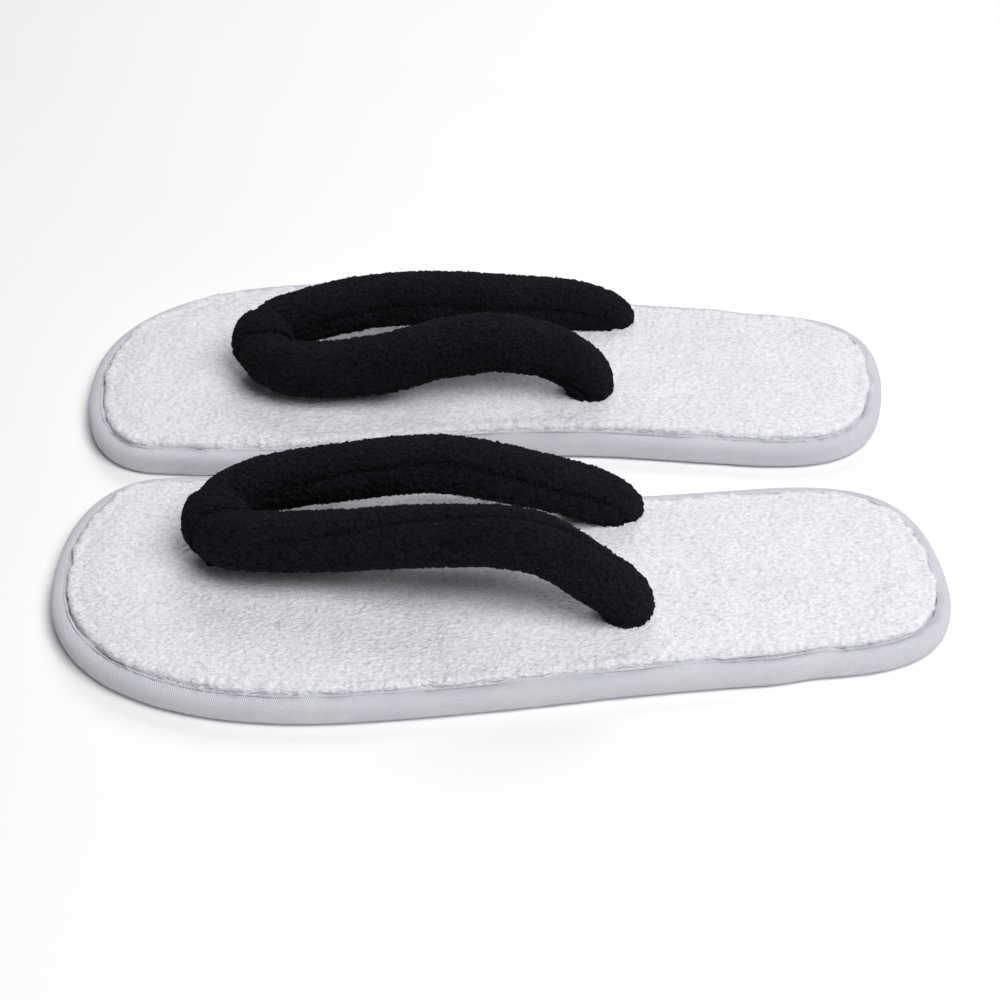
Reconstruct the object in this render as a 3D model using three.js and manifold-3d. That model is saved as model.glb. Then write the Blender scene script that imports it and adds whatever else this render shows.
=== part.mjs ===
// A pair of spa slippers: fleece-topped soles with a bound edge and a padded terry thong strap.
// Millimetres, +Z up, toes towards -X, heels towards +X, the floor at z = 0.
import * as THREE from 'three';
import { mergeVertices } from 'three/addons/utils/BufferGeometryUtils.js';
import Module from 'manifold-3d';

const wasm = await Module();
wasm.setup();

// How the two slippers lie: toes turned out a little, one a little ahead of the other.
const betweenSlippers = 7;
const toeOutAngle = 0.085;
const stagger = 5.4;

// Sole outline. Widths run from the slipper's own centre line, ball stations from the toe tip,
// and waist and heel stations from the heel's back.
const soleLength = 285;
const toeTipShift = 9.7;
const heelTipShift = -7.1;
const toeFullness = 0.61;
const heelFullness = 0.74;
const flowFullness = 0.42;
const lateralSide = { ball: [95, -51], waist: [64, -46.4], heel: [45, -44.7] };
const medialSide = { ball: [32, 59], waist: [88.5, 36.5], heel: [49, 37] };
const outlineSteps = 6;
const roundingSteps = 2;
const crownSteps = 3;

// Sole layers, from the floor up.
const gap = 0.3;
const outsoleThickness = 2.6;
const boardThickness = 1;
const foamEdgeThickness = 2.4;
const coverEdgeThickness = 0.9;
const coverThickness = 2.1;
const crownRise = 3;
const crownReach = 14;
const coverSetback = 1;

// Binding tape round the edge.
const tapeThickness = 0.9;
const tapeLip = 5.6;
const tapeRounding = 3.4;
const threadWidth = 0.8;
const threadHeight = 0.5;
const threadFromLipEdge = 0.6;

// Strap: a terry sleeve over a foam core, with a tongue at each end.
const strapRadius = 8.8;
const sleeveWall = 1.8;
const strapSides = 10;
const strapSteps = 32;
const tongueWidth = 10;
const tongueTab = 12;
const tongueRoot = 0.5;

// Toe loop: a terry band round the strap's bend, with a stem and a foot.
const loopClearance = 0.5;
const loopThickness = 3.2;
const loopWidth = 11;
const loopStem = 5;
const loopLift = 1.5;
const loopFoot = 13;
const loopSides = 20;

// Bartacks: short bars of thread that tack each end to the insole board.
const tackLength = 7;
const tackWidth = 2;
const tackThread = 0.6;

// Strap routes, in each slipper's own frame: along the sole from its middle, towards the big toe,
// and the height above the insole. Each arm runs from its buried end to the half-round bend at the
// toes. A shoulder is the height at which an arm meets the bend.
const bendRounding = 1.35 * strapRadius;
const straps = {
  left: {
    lateral: [[38, -20, -4], [38, -20, 0], [36.5, -21, 7], [29, -21.5, 15], [9, -18, 28.5], [-20, -10, 26],
      [-48, -2, 19]],
    medial: [[42, 26, -4], [41, 26, 0], [35, 25, 6], [21, 23, 14], [1, 22, 22], [-18, 21, 28],
      [-47, 23, 25]],
    bend: [-88, 15],
    lateralShoulder: 16,
    medialShoulder: 17,
  },
  right: {
    lateral: [[44, -32, -4], [43, -31.5, 0], [30, -28, 7], [11, -21, 12], [-20, -13, 18], [-44, -7, 19]],
    medial: [[38, 11.5, -4], [38, 11.5, 0], [36, 12.5, 7.5], [26, 14.5, 16.5], [7, 18, 23], [-14, 20.5, 20.5],
      [-36, 23, 14]],
    bend: [-78, 12.5],
    lateralShoulder: 17,
    medialShoulder: 12,
  },
};

const white = { color: 0xf1f1f3, roughness: 0.95 };
const materials = {
  outsole: { color: 0xe9e9ec, roughness: 0.8 },
  insole_board: { color: 0xcdb58f, roughness: 0.9 },
  midsole_foam: { color: 0xf4f2ea, roughness: 0.95 },
  insole_cover: white,
  edge_binding: { color: 0xe6e8f2, roughness: 0.85 },
  binding_thread: { color: 0xc9cddc, roughness: 0.7 },
  strap_sleeve: { color: 0x111115, roughness: 1 },
  strap_core: { color: 0x3a3a40, roughness: 0.95 },
  toe_loop: { color: 0x111115, roughness: 1 },
  bartack: { color: 0x1c1c22, roughness: 0.8 },
};

// Heights that follow from the layers.
const lowerLipTop = tapeThickness + gap;
const boardBase = outsoleThickness + gap;
const boardTop = boardBase + boardThickness;
const foamBase = boardTop + gap;
const foamEdgeTop = foamBase + foamEdgeThickness;
const coverBase = foamEdgeTop + gap;
const coverEdgeTop = coverBase + coverEdgeThickness;
const bindingHeight = coverEdgeTop + gap + tapeThickness;
const insoleTop = foamEdgeTop + crownRise + gap + coverThickness;
const strapSeat = insoleTop + gap;
const tabTop = foamBase + sleeveWall;
const bendHeight = strapRadius + loopClearance + loopThickness + loopLift;
const tall = 100;

// Solids and booleans.
function toSolid(geometry) {
  const bare = geometry.index ? geometry : geometry.clone();
  bare.deleteAttribute('normal');
  bare.deleteAttribute('uv');
  const merged = mergeVertices(bare, 1e-4);
  return new wasm.Manifold(new wasm.Mesh({
    numProp: 3,
    vertProperties: new Float32Array(merged.attributes.position.array),
    triVerts: new Uint32Array(merged.index.array),
  }));
}

function toGeometry(solid) {
  const mesh = solid.getMesh();
  const geometry = new THREE.BufferGeometry();
  geometry.setAttribute('position', new THREE.BufferAttribute(mesh.vertProperties, 3));
  geometry.setIndex(new THREE.BufferAttribute(mesh.triVerts, 1));
  geometry.computeVertexNormals();
  return geometry;
}

// A box given by its lowest and highest corners, in either order along each axis.
function boxSolid([x0, y0, z0], [x1, y1, z1]) {
  const geometry = new THREE.BoxGeometry(Math.abs(x1 - x0), Math.abs(y1 - y0), Math.abs(z1 - z0));
  geometry.translate((x0 + x1) / 2, (y0 + y1) / 2, (z0 + z1) / 2);
  return toSolid(geometry);
}

// The sole's outline, as points. hand is 1 for the left slipper and -1 for the right one.
function soleOutline(hand) {
  const fromToe = ([station, width]) => new THREE.Vector2(station - soleLength / 2, width * hand);
  const fromHeel = ([station, width]) => new THREE.Vector2(soleLength / 2 - station, width * hand);
  const tip = fromToe([0, toeTipShift]);
  const back = fromHeel([0, heelTipShift]);
  const shape = new THREE.Shape();

  // One side from the toe tip to the heel, as four curves of [start, control, control, end].
  function sideCurves(side) {
    const ball = fromToe(side.ball);
    const waist = fromHeel(side.waist);
    const heel = fromHeel(side.heel);
    const flow = (from, to) => new THREE.Vector2((to.x - from.x) * flowFullness, 0);
    return [
      [tip, new THREE.Vector2(tip.x, tip.y + (ball.y - tip.y) * toeFullness),
        new THREE.Vector2(ball.x - side.ball[0] * toeFullness, ball.y), ball],
      [ball, ball.clone().add(flow(ball, waist)), waist.clone().sub(flow(ball, waist)), waist],
      [waist, waist.clone().add(flow(waist, heel)), heel.clone().sub(flow(waist, heel)), heel],
      [heel, new THREE.Vector2(heel.x + (back.x - heel.x) * heelFullness, heel.y),
        new THREE.Vector2(back.x, back.y + (heel.y - back.y) * heelFullness), back],
    ];
  }

  const outward = sideCurves(lateralSide);
  const homeward = sideCurves(medialSide).reverse().map((curve) => [...curve].reverse());
  shape.moveTo(tip.x, tip.y);
  for (const [, first, second, end] of [...outward, ...homeward]) {
    shape.bezierCurveTo(first.x, first.y, second.x, second.y, end.x, end.y);
  }
  const points = shape.getPoints(outlineSteps);
  points.pop();
  return points;
}

// The outline moved inwards by a distance, square to each point's own edge direction.
function inset(points, distance) {
  const turn = THREE.ShapeUtils.isClockWise(points) ? 1 : -1;
  return points.map((point, i) => {
    const before = points[(i + points.length - 1) % points.length];
    const after = points[(i + 1) % points.length];
    const along = after.clone().sub(before).normalize();
    return new THREE.Vector2(point.x + along.y * distance * turn, point.y - along.x * distance * turn);
  });
}

function slab(points, base, top) {
  const shape = new THREE.Shape(points);
  const geometry = new THREE.ExtrudeGeometry(shape, { depth: top - base, bevelEnabled: false });
  geometry.translate(0, 0, base);
  return toSolid(geometry);
}

// A slab whose upper and lower edges are rounded, inside the given outline.
function roundedSlab(points, base, top, radius) {
  const geometry = new THREE.ExtrudeGeometry(new THREE.Shape(points), {
    depth: top - base - 2 * radius,
    bevelThickness: radius,
    bevelSize: radius,
    bevelOffset: -radius,
    bevelSegments: roundingSteps,
  });
  geometry.translate(0, 0, base + radius);
  return toSolid(geometry);
}

// How far in from the outline a layer stays, to clear the rounded inside of the tape at its heights.
function tapeClearance(base, top) {
  const radius = (tapeRounding - tapeThickness) * Math.cos(Math.PI / 4 / roundingSteps);
  const beyond = Math.max(tapeRounding - base, top - (bindingHeight - tapeRounding), 0);
  return tapeRounding + gap - Math.sqrt(Math.max(radius ** 2 - beyond ** 2, 0));
}

// A layer of the sole that fills the tape's inside at its heights.
const layer = (points, base, top) => slab(inset(points, tapeClearance(base, top)), base, top);

// A low dome that rises from the outline and levels out at the given reach.
function dome(points, base, rise, reach) {
  const geometry = new THREE.ExtrudeGeometry(new THREE.Shape(points), {
    depth: gap,
    bevelThickness: rise,
    bevelSize: reach,
    bevelOffset: -reach,
    bevelSegments: crownSteps,
  });
  geometry.translate(0, 0, base - gap);
  return toSolid(geometry).intersect(boxSolid([-tall * 2, -tall, base - gap / 2], [tall * 2, tall, tall]));
}

// The strap's half-round bend, from the lateral shoulder to the medial one.
function bendArc({ bend: [front, side], lateralShoulder, medialShoulder }) {
  return [-90, -45, 0, 45, 90].map((degrees) => {
    const angle = THREE.MathUtils.degToRad(degrees);
    const shoulder = degrees < 0 ? lateralShoulder : medialShoulder;
    return [
      front + bendRounding * (1 - Math.cos(angle)),
      side + bendRounding * Math.sin(angle),
      THREE.MathUtils.lerp(bendHeight, shoulder, 1 - Math.cos(angle)),
    ];
  });
}

// A closed tube along a route.
function tube(route, radius) {
  const section = new THREE.Shape();
  section.absarc(0, 0, radius, 0, Math.PI * 2);
  const geometry = new THREE.ExtrudeGeometry(section, {
    steps: strapSteps,
    curveSegments: strapSides / 2,
    extrudePath: route,
  });
  return toSolid(geometry);
}

const above = (height) => boxSolid([-tall * 2, -tall * 2, height], [tall * 2, tall * 2, tall]);

// Where a strap end goes through the insole: its tongue hangs from the sleeve's inner wall,
// and its tab lies on the board and points to the sole's edge, under the strap.
function strapAnchor([x, y], toEdge) {
  const wallAt = y - toEdge * (strapRadius - sleeveWall / 2);
  return {
    x,
    toEdge,
    nearMiddle: wallAt - toEdge * sleeveWall / 2,
    nearEdge: wallAt + toEdge * sleeveWall / 2,
    tabEnd: wallAt + toEdge * tongueTab,
    tack: [x, wallAt + toEdge * (tongueTab + sleeveWall) / 2],
  };
}

// A tongue, or with a clearance the room that it needs in the cover and in the foam.
function tongue(anchor, clearance, top) {
  const half = tongueWidth / 2 + clearance;
  const out = anchor.toEdge * clearance;
  const base = foamBase - clearance;
  const upright = boxSolid([anchor.x - half, anchor.nearMiddle - out, base],
    [anchor.x + half, anchor.nearEdge + out, top]);
  const tab = boxSolid([anchor.x - half, anchor.nearMiddle - out, base],
    [anchor.x + half, anchor.tabEnd + out, tabTop + clearance]);
  return upright.add(tab);
}

// A bartack is a flat ring of thread: a bar on the tab, two legs, and a bar under the board.
function bartack([x, y], tabHeight, clearance = 0) {
  const halfLength = tackLength / 2 + clearance;
  const halfWidth = tackWidth / 2 + clearance;
  const low = boardBase - gap - tackThread - clearance;
  const high = tabHeight + gap + tackThread + clearance;
  const block = boxSolid([x - halfLength, y - halfWidth, low], [x + halfLength, y + halfWidth, high]);
  const hole = halfLength - tackThread - 2 * clearance;
  const window = boxSolid([x - hole, y - tall, low + tackThread + 2 * clearance],
    [x + hole, y + tall, high - tackThread - 2 * clearance]);
  return block.subtract(window);
}

function toeLoop(bend) {
  const ring = new THREE.Shape();
  ring.absarc(0, 0, strapRadius + loopClearance + loopThickness, 0, Math.PI * 2);
  const hole = new THREE.Path();
  hole.absarc(0, 0, strapRadius + loopClearance, 0, Math.PI * 2, true);
  ring.holes.push(hole);
  const geometry = new THREE.ExtrudeGeometry(ring, {
    depth: loopWidth,
    bevelEnabled: false,
    curveSegments: loopSides / 2,
  });
  geometry.rotateX(Math.PI / 2);
  geometry.translate(bend.x, bend.y + loopWidth / 2, bend.z);
  const halfWidth = loopWidth / 2;
  const halfStem = loopStem / 2;
  const stem = boxSolid([bend.x - halfStem, bend.y - halfWidth, foamBase],
    [bend.x + halfStem, bend.y + halfWidth, bend.z - strapRadius]);
  const foot = boxSolid([bend.x - halfStem, bend.y - halfWidth, foamBase],
    [bend.x + loopFoot, bend.y + halfWidth, tabTop]);
  return toSolid(geometry).add(stem).add(foot);
}

function toeSlot(bend) {
  const halfWidth = loopWidth / 2 + gap;
  const halfStem = loopStem / 2 + gap;
  const stem = boxSolid([bend.x - halfStem, bend.y - halfWidth, foamBase - gap],
    [bend.x + halfStem, bend.y + halfWidth, tall]);
  const foot = boxSolid([bend.x - halfStem, bend.y - halfWidth, foamBase - gap],
    [bend.x + loopFoot + gap, bend.y + halfWidth, tabTop + gap]);
  return stem.add(foot);
}

// All the solids of one slipper, by name, in its own frame.
function slipperSolids(side) {
  const hand = side === 'left' ? 1 : -1;
  const outline = soleOutline(hand);
  const strap = straps[side];
  const point = ([x, y, height = bendHeight]) => new THREE.Vector3(x, y * hand, insoleTop + height);
  const bend = point(strap.bend);
  const lateralArm = strap.lateral.map(point);
  const medialArm = strap.medial.map(point);
  const arc = bendArc(strap).map(point);
  const route = new THREE.CatmullRomCurve3([...lateralArm, ...arc, ...medialArm.toReversed()]);
  const lateralEnd = lateralArm[1];
  const medialEnd = medialArm[1];
  const lateral = strapAnchor([lateralEnd.x, lateralEnd.y], -hand);
  const medial = strapAnchor([medialEnd.x, medialEnd.y], hand);
  const toeTack = [bend.x + (loopStem / 2 + loopFoot) / 2, bend.y];
  const tacks = [lateral.tack, medial.tack, toeTack];

  const lipInset = tapeLip + gap;
  const tapeInside = roundedSlab(inset(outline, tapeThickness), tapeThickness, bindingHeight - tapeThickness,
    tapeRounding - tapeThickness);
  const binding = roundedSlab(outline, 0, bindingHeight, tapeRounding)
    .subtract(tapeInside)
    .subtract(slab(inset(outline, tapeLip), -1, bindingHeight + 1));

  const threadOuter = inset(outline, tapeLip - threadFromLipEdge - threadWidth);
  const threadInner = inset(outline, tapeLip - threadFromLipEdge);
  const threadBase = bindingHeight + gap;
  const thread = slab(threadOuter, threadBase, threadBase + threadHeight)
    .subtract(slab(threadInner, threadBase - 1, threadBase + threadHeight + 1));

  let outsole = layer(outline, lowerLipTop, outsoleThickness)
    .add(slab(inset(outline, lipInset), 0, outsoleThickness));
  let board = layer(outline, boardBase, boardTop);
  let foam = layer(outline, foamBase, foamEdgeTop)
    .add(dome(inset(outline, lipInset + coverSetback), foamEdgeTop, crownRise, crownReach));
  let cover = layer(outline, coverBase, coverEdgeTop)
    .add(dome(inset(outline, lipInset), coverEdgeTop, insoleTop - coverEdgeTop, crownReach))
    .subtract(dome(inset(outline, lipInset + coverSetback - gap), coverBase, crownRise, crownReach));

  for (const cut of [tongue(lateral, gap, tall), tongue(medial, gap, tall), toeSlot(bend)]) {
    foam = foam.subtract(cut);
    cover = cover.subtract(cut);
  }

  const tongues = tongue(lateral, 0, strapSeat + tongueRoot).add(tongue(medial, 0, strapSeat + tongueRoot));
  const bore = tube(route, strapRadius - sleeveWall).intersect(above(strapSeat - gap / 2));
  let sleeve = tube(route, strapRadius)
    .intersect(above(strapSeat).add(tongues))
    .add(tongues)
    .subtract(bore);
  const core = tube(route, strapRadius - sleeveWall - gap).intersect(above(strapSeat + gap));
  let loop = toeLoop(bend).subtract(tube(route, strapRadius + loopClearance));

  for (const tack of tacks) {
    const room = bartack(tack, tabTop, gap);
    outsole = outsole.subtract(room);
    board = board.subtract(room);
    foam = foam.subtract(room);
    sleeve = sleeve.subtract(room);
    loop = loop.subtract(room);
  }

  return {
    outsole,
    insole_board: board,
    midsole_foam: foam,
    insole_cover: cover,
    edge_binding: binding,
    binding_thread: thread,
    strap_sleeve: sleeve,
    strap_core: core,
    toe_loop: loop,
    lateral_bartack: bartack(lateral.tack, tabTop),
    medial_bartack: bartack(medial.tack, tabTop),
    toe_bartack: bartack(toeTack, tabTop),
  };
}

// How far a turned sole reaches from its own centre towards the other slipper.
function reachToMiddle() {
  const centre = new THREE.Vector2();
  const turned = soleOutline(1).map((point) => point.rotateAround(centre, toeOutAngle).y);
  return Math.max(...turned);
}

function slipper(side) {
  const hand = side === 'left' ? 1 : -1;
  const centreFromMiddle = reachToMiddle() + betweenSlippers / 2;
  const group = new THREE.Group();
  for (const [name, solid] of Object.entries(slipperSolids(side))) {
    const look = materials[name] ?? materials.bartack;
    const mesh = new THREE.Mesh(toGeometry(solid), new THREE.MeshStandardMaterial({ metalness: 0, ...look }));
    mesh.name = `${side}_${name}`;
    group.add(mesh);
  }
  group.position.set(hand * stagger / 2, -hand * centreFromMiddle, 0);
  group.rotation.z = hand * toeOutAngle;
  return group;
}

const group = new THREE.Group();
group.add(slipper('left'), slipper('right'));

export default group;
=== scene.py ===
"""A pair of white fleece spa slippers with black terry thong straps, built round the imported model."""
import math

import bmesh
import bpy
import numpy as np
from mathutils import Matrix, Vector


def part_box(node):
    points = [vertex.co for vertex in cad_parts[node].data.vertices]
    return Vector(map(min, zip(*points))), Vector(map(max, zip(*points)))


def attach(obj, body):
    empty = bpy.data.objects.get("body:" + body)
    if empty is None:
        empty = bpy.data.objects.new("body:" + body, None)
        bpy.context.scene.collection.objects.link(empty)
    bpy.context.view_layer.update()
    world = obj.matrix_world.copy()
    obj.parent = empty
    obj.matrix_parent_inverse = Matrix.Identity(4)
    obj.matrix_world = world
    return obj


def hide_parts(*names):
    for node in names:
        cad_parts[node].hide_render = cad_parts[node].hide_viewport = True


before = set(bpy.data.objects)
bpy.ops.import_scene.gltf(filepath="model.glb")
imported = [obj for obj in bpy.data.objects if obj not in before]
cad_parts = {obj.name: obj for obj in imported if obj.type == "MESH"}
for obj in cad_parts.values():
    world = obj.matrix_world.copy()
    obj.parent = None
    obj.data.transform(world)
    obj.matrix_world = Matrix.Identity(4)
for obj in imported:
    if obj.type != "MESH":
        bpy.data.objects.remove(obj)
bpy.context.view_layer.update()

# Lengths in the slipper's own frame are in millimetres until a mesh is made.
MM = 0.001
SIDES = {"left": 1, "right": -1}
TOE_OUT = 0.085
BODY = {"left": "left_slipper", "right": "right_slipper"}

# The sole's outline, as in the CAD source.
SOLE_LENGTH = 285
TOE_TIP = 9.7
HEEL_TIP = -7.1
TOE_FULLNESS = 0.61
HEEL_FULLNESS = 0.74
FLOW = 0.42
LATERAL = {"ball": (95, -51), "waist": (64, -46.4), "heel": (45, -44.7)}
MEDIAL = {"ball": (32, 59), "waist": (88.5, 36.5), "heel": (49, 37)}

# Heights of the layers.
OUTSOLE_TOP = 2.6
COVER_BASE = 6.9
COVER_EDGE_TOP = 7.8
BINDING_TOP = 9.0
CROWN_BASE = 9.9
FLEECE_TOP = 11.6
INSOLE_TOP = 12.0
LIP = 5.6
CROWN_REACH = 14.0

# Strap routes, as in the CAD source: heights are above the insole.
BEND_HEIGHT = 14.0
BEND_ROUNDING = 11.88
STRAPS = {
    "left": {
        "lateral": [(38, -20, -4), (38, -20, 0), (36.5, -21, 7), (29, -21.5, 15), (9, -18, 28.5),
                    (-20, -10, 26), (-48, -2, 19)],
        "medial": [(42, 26, -4), (41, 26, 0), (35, 25, 6), (21, 23, 14), (1, 22, 22), (-18, 21, 28),
                   (-47, 23, 25)],
        "bend": (-88, 15),
        "shoulders": (16, 17),
    },
    "right": {
        "lateral": [(44, -32, -4), (43, -31.5, 0), (30, -28, 7), (11, -21, 12), (-20, -13, 18),
                    (-44, -7, 19)],
        "medial": [(38, 11.5, -4), (38, 11.5, 0), (36, 12.5, 7.5), (26, 14.5, 16.5), (7, 18, 23),
                   (-14, 20.5, 20.5), (-36, 23, 14)],
        "bend": (-78, 12.5),
        "shoulders": (17, 12),
    },
}


# ---------------------------------------------------------------- noise

def hashed(cells, seed):
    """A repeatable number from 0 to 1 for each whole-number cell."""
    c = cells.astype(np.int64).astype(np.uint32)
    h = c[..., 0] * np.uint32(73856093) ^ c[..., 1] * np.uint32(19349663) ^ c[..., 2] * np.uint32(83492791)
    h = h ^ np.uint32((seed * 2654435761) & 0xFFFFFFFF)
    for shift, factor in ((16, 0x7FEB352D), (15, 0x846CA68B)):
        h = (h ^ (h >> np.uint32(shift))) * np.uint32(factor)
    return ((h ^ (h >> np.uint32(16))) >> np.uint32(8)).astype(float) / 2 ** 24


def smooth_noise(points, size, seed):
    """Value noise from -1 to 1 whose cells have that size."""
    p = points / size
    base = np.floor(p)
    f = p - base
    f = f * f * (3 - 2 * f)
    total = 0
    for corner in np.ndindex(2, 2, 2):
        weight = np.prod(np.where(corner, f, 1 - f), axis=-1)
        total = total + weight * hashed(base + corner, seed)
    return total * 2 - 1


def layered_noise(points, size, seed, layers=3):
    total = sum(smooth_noise(points, size / 2 ** k, seed + k) / 2 ** k for k in range(layers))
    return total / (2 - 0.5 ** (layers - 1))


def tufts(points, size, seed, flat=False):
    """Rounded clumps from 0 in the creases to 1 at the tips, each with a height of its own."""
    p = points / size
    base = np.floor(p)
    best = np.full(len(p), 9.0)
    height = np.zeros(len(p))
    reach = (0,) if flat else (-1, 0, 1)
    for step in [(i, j, k) for i in (-1, 0, 1) for j in (-1, 0, 1) for k in reach]:
        cell = base + step
        spot = np.stack([hashed(cell, seed + n) for n in (0, 1, 2)], -1)
        if flat:
            spot[:, 2] = 0
        away = ((cell + spot - p) ** 2).sum(-1)
        nearer = away < best
        best = np.where(nearer, away, best)
        height = np.where(nearer, hashed(cell, seed + 3), height)
    return np.clip(1 - best / 0.9, 0, 1) * (0.55 + 0.45 * height)


# ---------------------------------------------------------------- outline

def bezier(a, b, c, d, n=40):
    t = np.linspace(0, 1, n, endpoint=False)[:, None]
    return (1 - t) ** 3 * a + 3 * (1 - t) ** 2 * t * b + 3 * (1 - t) * t * t * c + t ** 3 * d


def from_toe(station, width):
    return np.array([station - SOLE_LENGTH / 2, width])


def from_heel(station, width):
    return np.array([SOLE_LENGTH / 2 - station, width])


def side_curves(side):
    tip, back = from_toe(0, TOE_TIP), from_heel(0, HEEL_TIP)
    ball, waist, heel = from_toe(*side["ball"]), from_heel(*side["waist"]), from_heel(*side["heel"])

    def flow(a, b):
        return np.array([(b[0] - a[0]) * FLOW, 0])

    return [
        (tip, np.array([tip[0], tip[1] + (ball[1] - tip[1]) * TOE_FULLNESS]),
         np.array([ball[0] - side["ball"][0] * TOE_FULLNESS, ball[1]]), ball),
        (ball, ball + flow(ball, waist), waist - flow(ball, waist), waist),
        (waist, waist + flow(waist, heel), heel - flow(waist, heel), heel),
        (heel, np.array([heel[0] + (back[0] - heel[0]) * HEEL_FULLNESS, heel[1]]),
         np.array([back[0], back[1] + (heel[1] - back[1]) * HEEL_FULLNESS]), back),
    ]


def evenly(line, n, closed):
    """The line again with n points evenly spaced along it, and its length."""
    whole = np.vstack([line, line[:1]]) if closed else line
    along = np.concatenate([[0], np.cumsum(np.linalg.norm(np.diff(whole, axis=0), axis=1))])
    at = np.linspace(0, along[-1], n, endpoint=not closed)
    return np.stack([np.interp(at, along, whole[:, k]) for k in range(line.shape[1])], 1), along[-1]


def sole_outline(n):
    """The left sole's outline, counter-clockwise from the toe tip by the lateral side."""
    there = side_curves(LATERAL)
    back = [tuple(reversed(curve)) for curve in reversed(side_curves(MEDIAL))]
    return evenly(np.vstack([bezier(*curve) for curve in there + back]), n, closed=True)


def inward(line):
    """Unit vectors that point into a counter-clockwise closed line."""
    along = np.roll(line, -1, 0) - np.roll(line, 1, 0)
    along = along / np.linalg.norm(along, axis=1)[:, None]
    return np.stack([-along[:, 1], along[:, 0]], 1)


def smoothed(values, width):
    """Values round a closed line, averaged over that many neighbours."""
    kernel = np.hanning(2 * width + 1)
    kernel = kernel / kernel.sum()
    ring = np.concatenate([values[-width:], values, values[:width]])
    return np.convolve(ring, kernel, "valid")


def edge_distance(points, line):
    """How far inside the closed line each point is, and the nearest point of the line."""
    nearest = np.zeros((len(points), 2))
    away = np.zeros(len(points))
    after = np.roll(line, -1, 0)
    edge = after - line
    size = (edge ** 2).sum(1)
    for start in range(0, len(points), 4000):
        p = points[start:start + 4000, None]
        t = np.clip(((p - line) * edge).sum(-1) / size, 0, 1)
        spot = line + t[..., None] * edge
        d = ((p - spot) ** 2).sum(-1)
        i = d.argmin(1)
        rows = np.arange(len(i))
        nearest[start:start + 4000] = spot[rows, i]
        side = edge[i, 0] * (p[:, 0, 1] - line[i, 1]) - edge[i, 1] * (p[:, 0, 0] - line[i, 0])
        away[start:start + 4000] = np.sqrt(d[rows, i]) * np.sign(side)
    return away, nearest


# ---------------------------------------------------------------- meshes

def place(points, side):
    """Points of a slipper's own frame, y towards the big toe, in the frame of the pair and in metres."""
    hand = SIDES[side]
    turn = hand * TOE_OUT
    x, y, z = points[:, 0], points[:, 1] * hand, points[:, 2]
    c, s = math.cos(turn), math.sin(turn)
    return np.stack([c * x - s * y, s * x + c * y, z], 1) * MM + MIDDLE[side]


def make_piece(name, side, points, faces, material, attributes=None, corners=None):
    """A smooth-shaded mesh object that rides on the slipper's body."""
    if SIDES[side] < 0:
        faces = [face[::-1] for face in faces]
    mesh = bpy.data.meshes.new(name)
    mesh.from_pydata(place(np.asarray(points, float), side).tolist(), [], [list(map(int, f)) for f in faces])
    for key, values in (attributes or {}).items():
        layer = mesh.attributes.new(key, "FLOAT", "POINT")
        layer.data.foreach_set("value", np.asarray(values, np.float32))
    if corners is not None:
        layer = mesh.attributes.new("cloth", "FLOAT_VECTOR", "CORNER")
        flat = np.concatenate([np.asarray(c[::-1] if SIDES[side] < 0 else c, np.float32) for c in corners])
        layer.data.foreach_set("vector", flat.ravel())
    mesh.polygons.foreach_set("use_smooth", [True] * len(mesh.polygons))
    mesh.validate()
    mesh.materials.append(material)
    piece = bpy.data.objects.new(name, mesh)
    bpy.context.scene.collection.objects.link(piece)
    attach(piece, BODY[side])
    return piece


def vertex_normals(points, faces):
    """Unit normals of a mesh of quads."""
    quads = np.asarray(faces)
    a, b, c, d = (points[quads[:, k]] for k in range(4))
    across = np.cross(c - a, d - b)
    total = np.zeros_like(points)
    for k in range(4):
        np.add.at(total, quads[:, k], across)
    return total / np.maximum(np.linalg.norm(total, axis=1), 1e-9)[:, None]


def grid_faces(rows, columns, closed_rows=False, closed_columns=False):
    """Quads of a grid whose points are listed row by row."""
    r = np.arange(rows if closed_rows else rows - 1)
    c = np.arange(columns if closed_columns else columns - 1)
    r, c = np.meshgrid(r, c, indexing="ij")
    r1, c1 = (r + 1) % rows, (c + 1) % columns
    quads = [r * columns + c, r1 * columns + c, r1 * columns + c1, r * columns + c1]
    return np.stack(quads, -1).reshape(-1, 4)


# ---------------------------------------------------------------- materials

def node_material(name):
    material = bpy.data.materials.new(name)
    material.use_nodes = True
    nodes, links = material.node_tree.nodes, material.node_tree.links
    shader = nodes["Principled BSDF"]
    return material, nodes, links, shader


def add(nodes, kind, **values):
    node = nodes.new(kind)
    for key, value in values.items():
        if key in node.inputs:
            node.inputs[key].default_value = value
        else:
            setattr(node, key, value)
    return node


def ramp(nodes, links, source, low, high, start=0.0, end=1.0):
    """A colour that runs from low to high as the source goes from start to end."""
    node = nodes.new("ShaderNodeValToRGB")
    node.color_ramp.elements[0].position = start
    node.color_ramp.elements[0].color = (*low, 1)
    node.color_ramp.elements[1].position = end
    node.color_ramp.elements[1].color = (*high, 1)
    links.new(source, node.inputs["Fac"])
    return node.outputs["Color"]


def mixed(nodes, links, a, b, factor, blend="MIX"):
    node = nodes.new("ShaderNodeMix")
    node.data_type = "RGBA"
    node.blend_type = blend
    for socket, value in ((node.inputs[6], a), (node.inputs[7], b), (node.inputs[0], factor)):
        if hasattr(value, "is_linked"):
            links.new(value, socket)
        else:
            socket.default_value = value
    return node.outputs[2]


def maths(nodes, links, operation, a, b=0.0):
    node = nodes.new("ShaderNodeMath")
    node.operation = operation
    for socket, value in zip(node.inputs, (a, b)):
        if hasattr(value, "is_linked"):
            links.new(value, socket)
        else:
            socket.default_value = value
    return node.outputs[0]


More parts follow.
